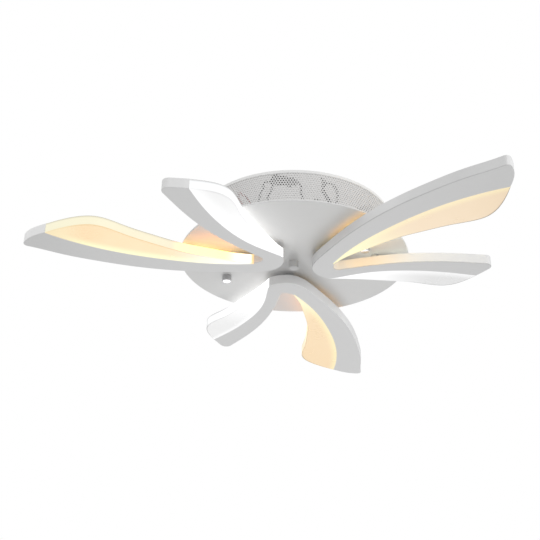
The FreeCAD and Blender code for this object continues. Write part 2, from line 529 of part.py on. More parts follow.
write("lead_red", lead(into_arm(0) + [(-19.8, -43.5, 16.85), (-22.6, -55.0, 20.45), (-26.0, -72.0, 26.55), (-28.0, -89.0, 34.5), (-27.2, -104.0, 40.0), (-23.6, -115.6, 42.2),
                                      (-18.2, -122.2, 39.6), (-12.4, -124.2, 34.2), (-7.2, -124.9, 27.6), (-2.2, -124.9, 22.0), (1.0, -123.0, 15.8), (1.4, -118.2, 9.8),
                                      (-0.6, -111.6, 5.6), (-4.5, -104.6, 5.4), (-4.5, -97.9, 9.05), (-4.5, yd, 9.05)]))
write("arm_leads", group([
    lead(into_arm(1) + [(42.4, 10.0, 16.45), (43.6, 19.5, 17.45), (45.2, 30.0, 15.05), (46.0, 38.0, 11.05), (46.0, 45.0, 11.05)]),
    lead(into_arm(2) + [(-20.0, 39.0, 16.65), (-13.0, 46.5, 17.25), (-6.5, 54.5, 14.45), (-1.5, 58.0, 11.05), (5.0, 58.0, 11.05)])]))
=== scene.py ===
import bpy, bmesh, json, math
import numpy as np
from mathutils import Matrix, Vector


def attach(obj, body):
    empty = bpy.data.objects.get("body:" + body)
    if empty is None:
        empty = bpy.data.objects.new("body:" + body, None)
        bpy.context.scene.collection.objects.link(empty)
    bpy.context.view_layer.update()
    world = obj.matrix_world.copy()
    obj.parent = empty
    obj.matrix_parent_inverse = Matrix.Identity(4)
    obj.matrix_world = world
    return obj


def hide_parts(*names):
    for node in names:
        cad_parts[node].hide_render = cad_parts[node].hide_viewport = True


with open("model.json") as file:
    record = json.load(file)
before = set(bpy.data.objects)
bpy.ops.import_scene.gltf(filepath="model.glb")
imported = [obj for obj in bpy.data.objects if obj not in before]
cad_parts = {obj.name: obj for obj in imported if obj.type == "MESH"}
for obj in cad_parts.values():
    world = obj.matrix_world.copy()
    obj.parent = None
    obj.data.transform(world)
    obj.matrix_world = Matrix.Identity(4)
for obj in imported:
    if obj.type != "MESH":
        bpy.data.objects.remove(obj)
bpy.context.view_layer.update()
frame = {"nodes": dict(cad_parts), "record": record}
NODES = frame["nodes"]
scene = bpy.context.scene
MM = 0.001

# ---------------------------------------------------------------- dimensions (metres), as in the solid model
R = 0.150
Z_PAN, Z_PAN_TOP = -0.0582, -0.0570
Z_TOP, Z_LOW = -0.0645, -0.0777            # top and underside of the arms
Z_FLOOR = Z_LOW + 0.0015
R_BAND = 0.1285                            # outside of the perforated wall
TURN = math.radians(25.2)

OUTLINE = {
    "tip_end_long": [(-2.0400, 0.6900), (-2.0842, 0.6696), (-2.1976, 0.6110), (-2.2479, 0.5294), (-2.2750, 0.4800)],
    "outer_long": [(-2.2750, 0.4800), (-2.1751, 0.4467), (-1.9761, 0.3227), (-1.7276, 0.2298), (-1.4230, 0.1248),
                   (-1.1056, 0.0572), (-0.7649, 0.0272), (-0.4631, 0.0341), (-0.1213, 0.0372), (-0.0750, 0.2236),
                   (-0.0870, 0.3000)],
    "bound_short": [(-0.0870, 0.3000), (-0.1221, 0.3502), (-0.4103, 0.5111), (-0.6941, 1.0184), (-0.7543, 1.2236),
                    (-0.8000, 1.3700)],
    "tip_end_short": [(-0.8000, 1.3700), (-0.8820, 1.3820), (-0.9593, 1.3880), (-1.0500, 1.3910)],
    "edge_short": [(-1.0500, 1.3910), (-0.9924, 1.2661), (-0.8534, 0.9353), (-0.5523, 0.5256), (-0.2658, 0.2864),
                   (-0.2300, 0.2545)],
    "bound_long": [(-0.3420, 0.1860), (-0.6289, 0.1638), (-1.0022, 0.2200), (-1.5988, 0.3910), (-1.9382, 0.6046),
                   (-2.0400, 0.6900)],
    "wing_long": [(-0.3420, 0.2000), (-0.5181, 0.2197), (-0.6648, 0.2895), (-0.9585, 0.3849), (-1.1669, 0.5244),
                  (-1.3886, 0.6591), (-1.5778, 0.8468), (-1.8060, 0.8140), (-1.9858, 0.7234), (-2.0400, 0.6900)],
    "wing_short": [(-0.0870, 0.3000), (-0.1551, 0.4091), (-0.2346, 0.5674), (-0.3211, 0.7642), (-0.4310, 1.0013),
                   (-0.4599, 1.2022), (-0.5766, 1.3333), (-0.7502, 1.3629), (-0.8000, 1.3700)],
}


def outline(name, samples, turn=0, start=0.0, end=1.0):
    """Points of a clamped cubic outline curve, in plan, even in parameter."""
    poles = np.array(OUTLINE[name]) * R
    n = len(poles)
    knots = np.concatenate([[0] * 3, np.arange(n - 2), [n - 3] * 3]).astype(float)
    ts = (start + (end - start) * np.linspace(0, 1, samples)) * (n - 3)
    out = []
    for t in ts:
        k = min(int(t), n - 4) + 3
        d = [poles[j + k - 3].copy() for j in range(4)]
        for r in range(1, 4):
            for j in range(3, r - 1, -1):
                i = j + k - 3
                a = (t - knots[i]) / (knots[i + 4 - r] - knots[i])
                d[j] = (1 - a) * d[j - 1] + a * d[j]
        out.append(d[3])
    p = np.array(out)
    a = TURN + turn * 2 * math.pi / 3
    x, y = p[:, 0], -p[:, 1]
    return np.stack([x * math.cos(a) - y * math.sin(a), x * math.sin(a) + y * math.cos(a)], 1)


def even(p, samples):
    """The same line with points even in length."""
    s = np.concatenate([[0], np.cumsum(np.hypot(*np.diff(p, axis=0).T))])
    t = np.linspace(0, s[-1], samples)
    return np.stack([np.interp(t, s, p[:, 0]), np.interp(t, s, p[:, 1])], 1)


def tangents(p):
    d = np.gradient(p, axis=0)
    return d / np.maximum(np.hypot(d[:, 0], d[:, 1]), 1e-12)[:, None]


def smooth(x, a, b):
    t = np.clip((x - a) / (b - a), 0, 1)
    return t * t * (3 - 2 * t)


# ---------------------------------------------------------------- camera, light, stage
def aim_camera():
    d, az, el = 9.076 * R, math.radians(25.2), math.radians(28.12)
    yaw, pitch, roll = (math.radians(v) for v in (-1.31, 0.24, 0.47))
    target = Vector((0, 0, Z_LOW))
    c = target + d * Vector((math.sin(az) * math.cos(el), -math.cos(az) * math.cos(el), -math.sin(el)))
    fw = (target - c).normalized()
    r = fw.cross(Vector((0, 0, 1))).normalized()
    u = r.cross(fw)
    fw2 = (fw + math.tan(yaw) * r + math.tan(pitch) * u).normalized()
    r2 = fw2.cross(u).normalized()
    u2 = r2.cross(fw2)
    r3 = math.cos(roll) * r2 + math.sin(roll) * u2
    u3 = -math.sin(roll) * r2 + math.cos(roll) * u2
    data = bpy.data.cameras.new("camera")
    data.sensor_width, data.lens = 36.0, 69.39
    data.clip_start, data.clip_end = 0.01, 200.0
    cam = bpy.data.objects.new("camera", data)
    m = Matrix((r3, u3, -fw2)).transposed().to_4x4()
    m.translation = c
    cam.matrix_world = m
    scene.collection.objects.link(cam)
    scene.camera = cam


aim_camera()
scene.view_settings.view_transform = "Standard"
scene.view_settings.look = "None"
scene.view_settings.exposure = 0.0
scene.view_settings.gamma = 1.0

world = bpy.data.worlds.new("studio")
scene.world = world
world.use_nodes = True
wt = world.node_tree
wt.nodes.clear()
w_out = wt.nodes.new("ShaderNodeOutputWorld")
w_mix = wt.nodes.new("ShaderNodeMixShader")
w_path = wt.nodes.new("ShaderNodeLightPath")
w_soft = wt.nodes.new("ShaderNodeBackground")
w_soft.inputs["Color"].default_value = (1.0, 1.0, 1.0, 1)
w_soft.inputs["Strength"].default_value = 0.87
w_white = wt.nodes.new("ShaderNodeBackground")
w_white.inputs["Color"].default_value = (1, 1, 1, 1)
w_white.inputs["Strength"].default_value = 1.0
wt.links.new(w_path.outputs["Is Camera Ray"], w_mix.inputs[0])
wt.links.new(w_soft.outputs[0], w_mix.inputs[1])
wt.links.new(w_white.outputs[0], w_mix.inputs[2])
wt.links.new(w_mix.outputs[0], w_out.inputs[0])


def softbox(name, place, target, size, radiance, colour=(1, 1, 1)):
    data = bpy.data.lights.new(name, "AREA")
    data.shape = "RECTANGLE"
    data.size, data.size_y = size
    data.energy = radiance * math.pi * size[0] * size[1]
    data.color = colour
    o = bpy.data.objects.new(name, data)
    o.location = place
    o.rotation_euler = (Vector(target) - Vector(place)).to_track_quat("-Z", "Y").to_euler()
    o.visible_camera = False
    scene.collection.objects.link(o)
    return o


# far and low beyond the lamp: what the flat bright ends of the cap nuts mirror
softbox("far_low", (-0.95, 2.0, -1.35), (0, 0, -0.06), (1.6, 0.9), 1.8)
softbox("right_side", (2.2, -0.2, -0.2), (0, 0, -0.06), (1.2, 1.2), 1.9)
softbox("left_side", (-2.0, -1.2, -0.3), (0, 0, -0.06), (1.2, 1.2), 0.6)
softbox("front_level", (1.9, -1.55, -0.18), (0, 0, -0.06), (1.0, 1.0), 1.4)


# ---------------------------------------------------------------- materials
class Look:
    """A material on one Principled shader with helpers for its textures."""

    def __init__(self, name, colour, rough, metal=0.0):
        self.m = bpy.data.materials.new(name)
        self.m.use_nodes = True
        self.t = self.m.node_tree
        self.t.nodes.clear()
        self.out = self.add("ShaderNodeOutputMaterial")
        self.b = self.add("ShaderNodeBsdfPrincipled")
        self.link(self.b.outputs[0], self.out.inputs["Surface"])
        self.set("Base Color", (*colour, 1))
        self.set("Roughness", rough)
        self.set("Metallic", metal)
        self.colour = colour
        self.place = self.add("ShaderNodeTexCoord").outputs["Object"]
        self.height = None

    def add(self, kind, **values):
        n = self.t.nodes.new(kind)
        for k, v in values.items():
            setattr(n, k, v)
        return n

    def link(self, a, b):
        self.t.links.new(a, b)

    def set(self, socket, value):
        self.b.inputs[socket].default_value = value

    def stretched(self, scale, angle=(0, 0, 0)):
        n = self.add("ShaderNodeMapping")
        n.inputs["Scale"].default_value = scale
        n.inputs["Rotation"].default_value = angle
        self.link(self.place, n.inputs["Vector"])
        return n.outputs[0]

    def noise(self, scale, detail=2.0, rough=0.5, place=None):
        n = self.add("ShaderNodeTexNoise")
        n.inputs["Scale"].default_value = scale
        n.inputs["Detail"].default_value = detail
        n.inputs["Roughness"].default_value = rough
        self.link(place or self.place, n.inputs["Vector"])
        return n.outputs["Fac"]

    def span(self, value, lo, hi, a=0.0, b=1.0):
        n = self.add("ShaderNodeMapRange")
        n.inputs["From Min"].default_value, n.inputs["From Max"].default_value = a, b
        n.inputs["To Min"].default_value, n.inputs["To Max"].default_value = lo, hi
        self.link(value, n.inputs["Value"])
        return n.outputs[0]

    def mix(self, fac, c1, c2):
        n = self.add("ShaderNodeMix", data_type="RGBA")
        if hasattr(fac, "links"):
            self.link(fac, n.inputs[0])
        else:
            n.inputs[0].default_value = fac
        for i, c in ((6, c1), (7, c2)):
            if hasattr(c, "links"):
                self.link(c, n.inputs[i])
            else:
                n.inputs[i].default_value = (*c, 1)
        return n.outputs[2]

    def tint(self, value, dark, light=1.0):
        """Base colour that varies between two shares of the material's own."""
        c = self.colour
        self.link(self.mix(value, [x * dark for x in c], [min(1, x * light) for x in c]), self.b.inputs["Base Color"])

    def roughness(self, value, lo, hi, a=0.3, b=0.7):
        self.link(self.span(value, lo, hi, a, b), self.b.inputs["Roughness"])

    def bump(self, value, depth, strength=1.0):
        n = self.add("ShaderNodeBump")
        n.inputs["Distance"].default_value = depth
        n.inputs["Strength"].default_value = strength
        self.link(value, n.inputs["Height"])
        if self.height is not None:
            self.link(self.height, n.inputs["Normal"])
        self.height = n.outputs[0]
        self.link(self.height, self.b.inputs["Normal"])


def paint(name, colour, rough=0.42, painted_light_and_shade_by_radius=()):
    """Baked white powder paint: slight orange peel, faint clouding, and, where asked, painted light and shade that
    makes the colour lighter or darker with distance from the lamp's axis.
    """
    k = Look(name, colour, rough)
    fine, broad = k.noise(900, 3, 0.6), k.noise(14, 3, 0.55)
    k.tint(k.span(broad, 0.0, 1.0, 0.35, 0.65), 0.965, 1.015)
    # painted light and shade: the base colour is multiplied by a factor that runs between two values over a span of
    # distance from the axis
    for shade in painted_light_and_shade_by_radius:
        flat = k.add("ShaderNodeVectorMath", operation="LENGTH")
        k.link(k.stretched((1, 1, 0)), flat.inputs[0])
        n = k.add("ShaderNodeMix", data_type="RGBA", blend_type="MULTIPLY")
        n.inputs[0].default_value = 1.0
        k.link(k.b.inputs["Base Color"].links[0].from_socket, n.inputs[6])
        k.link(k.span(flat.outputs["Value"], *shade), n.inputs[7])
        k.link(n.outputs[2], k.b.inputs["Base Color"])
    k.roughness(broad, rough - 0.06, rough + 0.06)
    k.bump(fine, 0.00003, 0.5)
    return k.m


def steel(name, colour, rough=0.32, grain=(600, 25, 600), depth=0.00002):
    k = Look(name, colour, rough, 1.0)
    lines, cloud = k.noise(1.0, 3, 0.6, k.stretched(grain)), k.noise(60, 3, 0.6)
    k.tint(k.span(cloud, 0, 1, 0.3, 0.7), 0.86, 1.06)
    k.roughness(lines, rough - 0.10, rough + 0.14)
    k.bump(lines, depth, 0.4)
    return k.m


def plastic(name, colour, rough=0.5, scale=1400, depth=0.00004):
    k = Look(name, colour, rough)
    fine, cloud = k.noise(scale, 2, 0.5), k.noise(30, 3, 0.6)
    k.tint(k.span(cloud, 0, 1, 0.3, 0.7), 0.93, 1.04)
    k.roughness(fine, rough - 0.08, rough + 0.10)
    k.bump(fine, depth, 0.5)
    return k.m


def glowing(name, colour, rough):
    """Opal acrylic: the light comes from the piece's own glow, cloudy by a few percent."""
    k = Look(name, colour, rough)
    cloud = k.noise(45, 3, 0.55)
    k.tint(k.span(cloud, 0, 1, 0.3, 0.7), 0.97, 1.02)
    g = k.add("ShaderNodeAttribute", attribute_name="glow")
    n = k.add("ShaderNodeMix", data_type="RGBA", blend_type="MULTIPLY")
    n.inputs[0].default_value = 1.0
    k.link(g.outputs["Color"], n.inputs[6])
    k.link(k.mix(k.span(cloud, 0, 1, 0.3, 0.7), (0.992, 0.990, 0.988), (1.004, 1.004, 1.004)), n.inputs[7])
    k.link(n.outputs[2], k.b.inputs["Emission Color"])
    k.set("Emission Strength", 1.0)
    k.roughness(cloud, rough - 0.04, rough + 0.05)
    return k.m


def lit(name, colour, light, strength):
    """Phosphor window of a light-emitting diode, also used as painted light on the top face of the strip boards."""
    k = Look(name, colour, 0.35)
    grain = k.noise(2500, 2, 0.5)
    k.tint(k.span(grain, 0, 1, 0.3, 0.7), 0.9, 1.05)
    k.link(k.mix(k.span(grain, 0, 1, 0.3, 0.7), [x * 0.92 for x in light], light), k.b.inputs["Emission Color"])
    k.set("Emission Strength", strength)
    return k.m


# painted shade: the canopy paint is 10 percent darker within 25 mm of the axis, fading out by 75 mm, where the arm
# roots shade the pan
CANOPY_WHITE_SHADED_MIDDLE = paint("canopy_paint_shaded_middle", (0.77, 0.77, 0.765), 0.38, [(0.90, 1.0, 0.025, 0.075)])
# painted shade: a darker copy of the canopy's white paint for the upright perforated band
WALL_PAINT_SHADED = paint("wall_paint_painted_shade", (0.71, 0.705, 0.70))
# painted light: a lighter copy of the canopy's white paint for the hem ring, which the pan's overhang keeps from the
# light below
HEM_PAINT_LIT = paint("hem_paint_painted_light", (0.86, 0.86, 0.855))
KNOB = paint("knob_paint", (0.63, 0.63, 0.625), 0.46)
ARM = paint("arm_paint", (0.80, 0.80, 0.80), 0.40)
# painted shade: a darker copy of the arm paint on the rounded lower edge of the second arm, a dark shade line
CREASE_PAINTED_SHADE = paint("crease_painted_shade", (0.66, 0.66, 0.66), 0.45)
# painted highlight: a lighter copy of the arm paint on the rounded lower edge of the third arm
BRINK_PAINTED_HIGHLIGHT = paint("brink_painted_highlight", (0.92, 0.92, 0.92), 0.35)
# painted light and shade on one frame wall per arm: the first arm's tip end wall lighter, the second's outer wall
# darker far from the axis, the third's outer wall lighter from near the root and darker again far out
SIDE_PAINTED_LIGHT_AND_SHADE = [paint("side_painted_light_1", (0.93, 0.93, 0.93), 0.40), paint("side_painted_shade_2", (0.80, 0.80, 0.80), 0.40, [(1.0, 0.885, 0.20, 0.29)]),
        paint("side_painted_light_and_shade_3", (0.80, 0.80, 0.80), 0.40, [(1.0, 1.16, 0.03, 0.07), (1.0, 0.82, 0.12, 0.20)])]
ACRYL_WARM = glowing("acrylic_warm", (0.34, 0.32, 0.28), 0.24)
ACRYL_COOL = glowing("acrylic_cool", (0.36, 0.36, 0.36), 0.24)
ZINC = steel("zinc", (0.62, 0.63, 0.64))
BRIGHT = steel("bright_plate", (0.60, 0.60, 0.61), 0.16, (40, 40, 1500), 0.000006)
BRASS = steel("brass", (0.68, 0.52, 0.24), 0.30)
CASE = plastic("driver_case", (0.72, 0.72, 0.70))
NYLON = plastic("nylon", (0.78, 0.77, 0.72), 0.42, 500, 0.00002)
FOAM = plastic("foam", (0.045, 0.045, 0.05), 0.9, 700, 0.0003)
PVC = plastic("black_lead", (0.058, 0.058, 0.060), 0.42, 500, 0.00002)
RED = plastic("red_lead", (0.55, 0.014, 0.01), 0.40, 500, 0.00002)
BOARD = plastic("strip_board", (0.80, 0.80, 0.77), 0.38, 900, 0.00001)
CHIP_WARM = lit("chip_warm", (0.80, 0.62, 0.20), (1.0, 0.52, 0.16), 6.0)
CHIP_COOL = lit("chip_cool", (0.84, 0.80, 0.52), (0.95, 0.98, 1.0), 4.0)
# painted light: the strip boards' top faces glow, strongest on the second arm, standing in for light that leaks from
# the channels onto the pan
LEAK_LIGHT_WARM = [lit("painted_leak_light_warm_%d" % (i + 1), (0.80, 0.70, 0.50), (1.0, 0.47, 0.12), e) for i, e in enumerate((1.2, 4.5, 1.5))]
LEAK_LIGHT_COOL = [lit("painted_leak_light_cool_%d" % (i + 1), (0.80, 0.80, 0.77), (0.93, 0.98, 0.78), e) for i, e in enumerate((1.5, 3.2, 1.5))]

SLOT_LOOK = {"canopy_white": CANOPY_WHITE_SHADED_MIDDLE, "arm_white": ARM, "acrylic_warm": ACRYL_WARM, "acrylic_cool": ACRYL_COOL,
             "led_warm": BOARD, "led_cool": BOARD, "bright_plate": BRIGHT, "zinc_steel": ZINC, "earth_brass": BRASS,
             "driver_case": CASE, "terminal_nylon": NYLON, "pad_foam": FOAM, "lead_black": PVC, "lead_red": RED}
SLOT_OF = {s["node"]: s["material_slot"] for s in frame["record"]["subparts"]}
for name, o in NODES.items():
    for i in range(len(o.material_slots)):
        o.material_slots[i].material = {"top_rim_ring": HEM_PAINT_LIT, "centre_knob": KNOB}.get(name, SLOT_LOOK[SLOT_OF[name]])


# ---------------------------------------------------------------- pieces
def piece(name, verts, faces, looks, node=None, body="lamp_body", sharp=40.0, kinds=None, glow=None):
    mesh = bpy.data.meshes.new(name)
    mesh.from_pydata([tuple(v) for v in verts], [], [tuple(f) for f in faces])
    for m in looks:
        mesh.materials.append(m)
    if kinds is not None:
        mesh.polygons.foreach_set("material_index", np.array(kinds, np.int32))
    if glow is not None:
        a = mesh.attributes.new("glow", "FLOAT_COLOR", "POINT")
        a.data.foreach_set("color", np.array(glow, np.float32).ravel())
    mesh.validate()
    bm = bmesh.new()
    bm.from_mesh(mesh)
    bmesh.ops.recalc_face_normals(bm, faces=bm.faces)
    bm.to_mesh(mesh)
    bm.free()
    mesh.polygons.foreach_set("use_smooth", np.ones(len(mesh.polygons), bool))
    mesh.set_sharp_from_angle(angle=math.radians(sharp))
    o = bpy.data.objects.new(name, mesh)
    scene.collection.objects.link(o)
    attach(o, body)
    if node:
        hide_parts(node)
    return o


def wing(name, bound, edge, turn, look, node, glow_of, stations=150, rows=26, r0=0.0009):
    """Light-guide wing between the frame and its own free edge, with a softly rounded free edge."""
    a, b = even(outline(bound, 900, turn), stations), even(outline(edge, 900, turn), stations)
    a[-1], b[-1] = a[-2] * 0.2 + a[-1] * 0.8, b[-2] * 0.2 + b[-1] * 0.8     # the tip closes just short of its point
    if np.hypot(*(a[0] - b[0])) < 1e-6:
        a, b = a[1:], b[1:]
    n = len(a)
    w = np.hypot(*(b - a).T)
    tb = tangents(b)
    inward = np.stack([-tb[:, 1], tb[:, 0]], 1)
    mid = n // 2
    if np.dot(inward[mid], a[mid] - b[mid]) < 0:
        inward = -inward
    r = np.minimum(r0, 0.3 * w)
    along = np.concatenate([[0], np.cumsum(np.hypot(*np.diff(a, axis=0).T))])
    along /= along[-1]
    cols = []                                           # (plan points, height, kind, share across)
    for s in np.linspace(0, 1, rows):
        cols.append((a + (b + inward * r[:, None] - a) * s, np.full(n, Z_LOW), "low", s))
    for q in (30, 60):
        c, si = math.cos(math.radians(q)), math.sin(math.radians(q))
        cols.append((b + inward * (r * (1 - si))[:, None], Z_LOW + r * (1 - c), "edge", 1.0))
    for h in (0.0, 0.2, 0.4, 0.6, 0.8, 1.0):
        cols.append((b, Z_LOW + r + (Z_TOP - Z_LOW - 2 * r) * h, "wall", h))
    for q in (60, 30):
        c, si = math.cos(math.radians(q)), math.sin(math.radians(q))
        cols.append((b + inward * (r * (1 - si))[:, None], Z_TOP - r * (1 - c), "rim", 1.0))
    for s in np.linspace(1, 0, 12):
        cols.append((a + (b + inward * r[:, None] - a) * s, np.full(n, Z_TOP), "top", s))
    for h in (0.75, 0.5, 0.25):
        cols.append((a, np.full(n, Z_LOW + (Z_TOP - Z_LOW) * h), "inner", h))
    k = len(cols)
    verts, glow = np.zeros((n, k, 3)), np.ones((n, k, 4))
    for j, (p, z, kind, s) in enumerate(cols):
        verts[:, j, :2], verts[:, j, 2] = p, z
        glow[:, j, :3] = glow_of(kind, s, along, w, np.hypot(p[:, 0], p[:, 1]), turn)
    faces = []
    for i in range(n - 1):
        for j in range(k):
            j2 = (j + 1) % k
            faces.append((i * k + j, i * k + j2, (i + 1) * k + j2, (i + 1) * k + j))
    faces.append(tuple(range(k)))
    faces.append(tuple((n - 1) * k + j for j in reversed(range(k))))
    return piece(name, verts.reshape(-1, 3), faces, [look], node, sharp=38, glow=glow.reshape(-1, 4))


def blend3(t, a, b):
    return np.array(a)[None] * (1 - t)[:, None] + np.array(b)[None] * t[:, None]


# How each arm's wings give off their light: radiance at the free wall and top near the root, and the tones of the lit
# face. The crease and tip entries are painted shade: they darken the glow along the free lower edge far from the axis
# and near the tip.
LONG_LIGHT = [
    {"wall": (4.8, 1.95, 0.50), "top": (1.6, 1.02, 0.42), "out": (0.72, 0.65, 0.46), "by_frame": (0.72, 0.69, 0.36), "free": (0.68, 0.47, 0.22), "root": (0.76, 0.75, 0.68),
     "reach": 0.018, "white": (0.05, 0.45), "fade": (0.112, 0.172), "crease": 0.0, "tail": (0.85, 0.55, 0.20), "end": (0.71, 0.575, 0.32)},
    {"wall": (4.8, 2.50, 0.25), "top": (2.9, 2.05, 0.60), "out": (4.6, 4.20, 3.00), "by_frame": (0.66, 0.54, 0.28), "free": (0.58, 0.43, 0.26), "root": (0.69, 0.65, 0.33),
     "reach": 0.014, "white": (0.08, 0.50), "fade": (0.100, 0.160), "crease": 0.8},
    {"wall": (2.3, 0.80, 0.10), "top": (0.9, 0.50, 0.20), "out": (0.85, 0.66, 0.33), "far": (0.58, 0.46, 0.26), "by_frame": (0.63, 0.515, 0.215), "free": (0.565, 0.375, 0.155), "root": (0.70, 0.62, 0.34),
     "reach": 0.013, "white": (0.02, 0.34), "fade": (0.125, 0.200), "crease": 0.10, "tip": 0.5},
]
SHORT_LIGHT = [
    {"wall": 1.4, "top": 1.25, "free": 0.53, "reach": 0.030, "start": 0.10, "end": 1.0, "even": 0.2, "crease": 0.0},
    {"wall": 1.0, "top": 0.6, "free": 0.385, "reach": 0.018, "start": 0.10, "end": 0.70, "even": 0.5, "crease": 0.8},
    {"wall": 1.3, "top": 1.1, "free": 0.46, "reach": 0.010, "start": 0.15, "end": 0.75, "even": 0.45, "crease": 0.0, "tip": 0.40},
]


def toward(base, target, t):
    return base * (1 - t)[:, None] + np.array(target)[None] * t[:, None]


def glow_long(kind, s, along, w, rad, arm):
    """Warm wing: pale yellow by the frame and on the free walls, peach towards the free edge, whiter at the root, with
    painted shade darkening the top of the free wall far from the axis, on two arms the free lower edge, and on one the
    tip.
    """
    k = LONG_LIGHT[arm]
    root = 1 - smooth(rad, *k["fade"])
    if kind in ("low", "edge"):
        c = blend3(smooth(s * w, 0.0005, k["reach"]), k["by_frame"], k["free"])
        c = toward(c, k["root"], 1 - smooth(along, *k["white"]))
        if kind == "edge" or s == 1.0:
            # painted shade: the free lower edge darkens far from the axis, and near the tip where asked
            c = c * (1 - k["crease"] * smooth(rad, 0.150, 0.165))[:, None]
            c = c * (1 - k.get("tip", 0.0) * smooth(along, 0.70, 0.76))[:, None]
        if "end" in k:
            c = toward(c, k["end"], smooth(along, 0.78, 0.95))
        return toward(c, k["tail"], 1 - smooth(along, 0.004, 0.022)) if "tail" in k else c
    if kind == "wall":
        out = blend3(smooth(along, 0.3, 1.0 if "far" not in k else 0.7), k["out"], k.get("far", (0.66, 0.63, 0.44)))
        if s == 1.0:
            # painted shade: the top row of the free wall darkens far from the axis, as a dark outline
            out = out * (1 - 0.35 * smooth(rad, 0.150, 0.165))[:, None]
        c = toward(toward(out, k["wall"], root), (1.7, 1.58, 1.38), 1 - smooth(along, 0.02, 0.14))
        return toward(c, k["tail"], 1 - smooth(along, 0.004, 0.022)) if "tail" in k else c
    under = 1 - smooth(rad, 0.145, 0.165)
    if kind == "rim":
        return toward(blend3(np.zeros(len(w)), (0.06, 0.05, 0.03), (0, 0, 0)), k["top"], under)
    if kind == "top":
        return toward(blend3(np.zeros(len(w)), (0.30, 0.26, 0.17), (0, 0, 0)), k["top"], under)
    return blend3(np.zeros(len(w)), (0.5, 0.4, 0.2), (0, 0, 0))


def glow_short(kind, s, along, w, rad, arm):
    """Cool wing: white, greyer towards the free edge and the tip, with painted shade darkening the top of the free
    wall far from the axis, on one arm the free lower edge and on another the tip.
    """
    k = SHORT_LIGHT[arm]
    root = 1 - smooth(rad, 0.10, 0.19)
    if kind in ("low", "edge"):
        t = smooth(along, k["start"], k["end"]) * (k["even"] + (1 - k["even"]) * smooth(s * w, 0.0, k["reach"]))
        c = blend3(t, (0.72, 0.725, 0.73), [k["free"]] * 3)
        if kind == "edge" or s == 1.0:
            # painted shade: the free lower edge darkens far from the axis, and near the tip where asked
            c = c * (1 - k["crease"] * smooth(rad, 0.150, 0.165))[:, None]
            c = c * (1 - k.get("tip", 0.0) * smooth(along, 0.735, 0.775))[:, None]
        return c
    if kind == "wall":
        out = blend3(smooth(along, 0.2, 1.0), (0.80, 0.81, 0.82), (0.66, 0.67, 0.675))
        out = toward(out, [k["wall"]] * 3, root)
        # painted shade: the wall darkens near the tip where asked, and its top row far from the axis as a dark outline
        out = out * (1 - k.get("tip", 0.0) * smooth(along, 0.735, 0.775))[:, None]
        return out * (1 - 0.5 * smooth(rad, 0.138, 0.152))[:, None] if s == 1.0 else out
    under = 1 - smooth(rad, 0.145, 0.165)
    if kind == "rim":
        return toward(blend3(np.zeros(len(w)), (0.06, 0.06, 0.06), (0, 0, 0)), [k["top"]] * 3, under)
    if kind == "top":
        return toward(blend3(np.zeros(len(w)), (0.30, 0.305, 0.31), (0, 0, 0)), [k["top"]] * 3, under)
    return blend3(np.zeros(len(w)), (0.4, 0.4, 0.4), (0, 0, 0))


for i in range(3):
    k = i + 1
    wing("acrylic_long_%d" % k, "bound_long", "wing_long", i, ACRYL_WARM, "long_wing_%d" % k, glow_long)
    wing("acrylic_short_%d" % k, "bound_short", "wing_short", i, ACRYL_COOL, "short_wing_%d" % k, glow_short)


# Arm frames: the same solids with their lower outer edges rounded, as bent and painted sheet has them. The rounded
# edge is painted darker as a shade line on the second arm and lighter as a highlight on the third, and one wall of
# each arm carries painted light and shade.
def softened(name, node, looks, keep, side, radius=0.0011, segments=4):
    src = NODES[node]
    bm = bmesh.new()
    bm.from_mesh(src.data)
    bm.transform(src.matrix_world)
    bmesh.ops.remove_doubles(bm, verts=bm.verts[:], dist=2e-6)
    bmesh.ops.dissolve_limit(bm, angle_limit=math.radians(0.3), verts=bm.verts[:], edges=bm.edges[:], use_dissolve_boundaries=False)
    bm.normal_update()
    chosen = []
    for e in bm.edges:
        if len(e.link_faces) == 2 and all(abs(v.co.z - Z_LOW) < 1e-5 for v in e.verts) and e.calc_face_angle(0) > math.radians(60):
            m = (e.verts[0].co + e.verts[1].co) / 2
            if np.min(np.hypot(keep[:, 0] - m.x, keep[:, 1] - m.y)) > 0.0005:
                chosen.append(e)
    bmesh.ops.bevel(bm, geom=chosen, offset=radius, offset_type="OFFSET", segments=segments, profile=0.5, affect="EDGES", clamp_overlap=False)
    mesh = bpy.data.meshes.new(name)
    bm.to_mesh(mesh)
    bm.free()
    mesh.materials.clear()
    for m in looks:
        mesh.materials.append(m)
    lean = np.array([p.normal.z for p in mesh.polygons])
    mid = np.array([p.center[:2] for p in mesh.polygons])
    by_side = np.array([np.min(np.hypot(side[:, 0] - x, side[:, 1] - y)) < 0.001 for x, y in mid])
    # material 1 goes to the rounded lower edge faces, which carry the painted shade line or highlight; material 2 to
    # the chosen wall, which carries painted light and shade
    kinds = np.where((lean < -0.15) & (lean > -0.97), 1, np.where((abs(lean) < 0.15) & by_side, 2, 0))
    mesh.polygons.foreach_set("material_index", kinds.astype(np.int32))
    mesh.polygons.foreach_set("use_smooth", np.ones(len(mesh.polygons), bool))
    mesh.set_sharp_from_angle(angle=math.radians(40))
    o = bpy.data.objects.new(name, mesh)
    scene.collection.objects.link(o)
    wn = o.modifiers.new("weighted", "WEIGHTED_NORMAL")
    wn.keep_sharp, wn.weight = True, 90
    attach(o, "lamp_body")
    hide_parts(node)
    return o


for i in range(3):
    k = i + 1
    keep = np.concatenate([outline("bound_long", 1500, i), outline("bound_short", 1500, i)])
    softened("frame_%d" % k, "arm_frame_%d" % k, [ARM, (ARM, CREASE_PAINTED_SHADE, BRINK_PAINTED_HIGHLIGHT)[i], SIDE_PAINTED_LIGHT_AND_SHADE[i]], keep, outline(("tip_end_long", "outer_long", "outer_long")[i], 1500, i))
